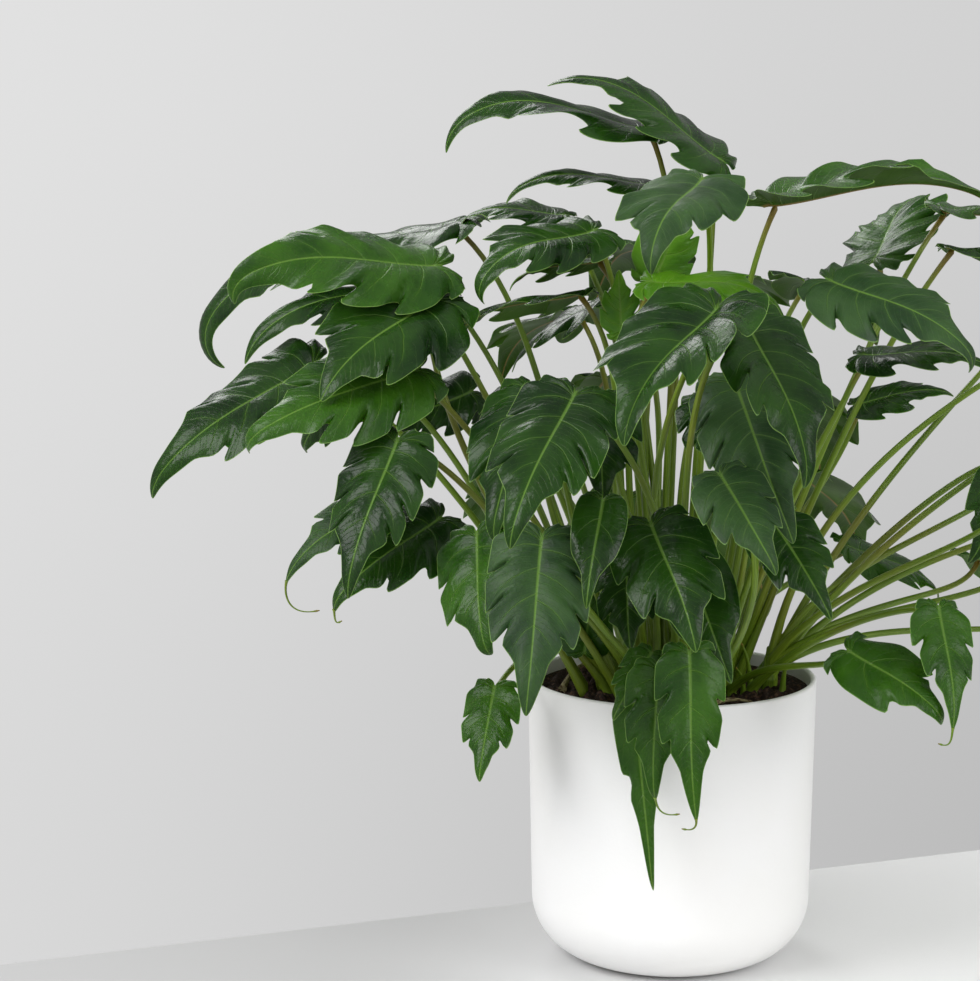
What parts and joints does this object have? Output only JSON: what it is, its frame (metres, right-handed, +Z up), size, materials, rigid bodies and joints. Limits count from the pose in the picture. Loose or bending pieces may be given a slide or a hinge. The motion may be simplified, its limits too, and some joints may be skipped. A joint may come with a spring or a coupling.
{
  "type": "potted philodendron",
  "caption": "Bushy house plant with long-stalked, drooping, lobed dark green leaves, standing in soil in a plain white round pot.",
  "frame": {"origin": "centre of the pot's flat foot, on the surface that it stands on", "axes": "+Z up along the pot's axis, -Y towards the side that faces the viewer, +X to that viewer's right"},
  "size_m": [0.9002, 0.6546, 0.7639],
  "materials": {
    "glaze": "satin",
    "peat": "matte",
    "leaf": "satin"
  },
  "bodies": {
    "root": {"pot": "glaze", "soil": "peat", "leaf_left_1": "leaf", "leaf_left_2": "leaf", "leaf_left_3": "leaf", "leaf_left_4": "leaf", "leaf_left_5": "leaf", "leaf_left_6": "leaf", "leaf_left_7": "leaf", "leaf_left_8": "leaf", "leaf_left_9": "leaf", "leaf_left_10": "leaf", "leaf_left_11": "leaf", "leaf_left_12": "leaf", "leaf_left_13": "leaf", "leaf_left_14": "leaf", "leaf_top_1": "leaf", "leaf_top_2": "leaf", "leaf_top_3": "leaf", "leaf_top_4": "leaf", "leaf_top_5": "leaf", "leaf_top_6": "leaf", "leaf_top_7": "leaf", "leaf_top_8": "leaf", "leaf_top_9": "leaf", "leaf_top_10": "leaf", "leaf_top_11": "leaf", "leaf_top_12": "leaf", "leaf_middle_1": "leaf", "leaf_middle_2": "leaf", "leaf_middle_3": "leaf", "leaf_middle_4": "leaf", "leaf_middle_5": "leaf", "leaf_middle_6": "leaf", "leaf_middle_7": "leaf", "leaf_middle_8": "leaf", "leaf_middle_9": "leaf", "leaf_middle_10": "leaf", "leaf_middle_11": "leaf", "leaf_front_1": "leaf", "leaf_front_2": "leaf", "leaf_front_3": "leaf", "leaf_front_4": "leaf", "leaf_front_5": "leaf", "leaf_front_6": "leaf", "leaf_front_7": "leaf", "leaf_front_8": "leaf", "leaf_right_1": "leaf", "leaf_right_2": "leaf", "leaf_right_3": "leaf", "leaf_right_4": "leaf", "leaf_right_5": "leaf", "leaf_right_6": "leaf", "leaf_right_7": "leaf", "leaf_right_8": "leaf", "leaf_right_9": "leaf", "leaf_right_10": "leaf", "stem_right": "leaf", "stem_back_right": "leaf", "stem_back_left": "leaf"}
  },
  "joints": []
}
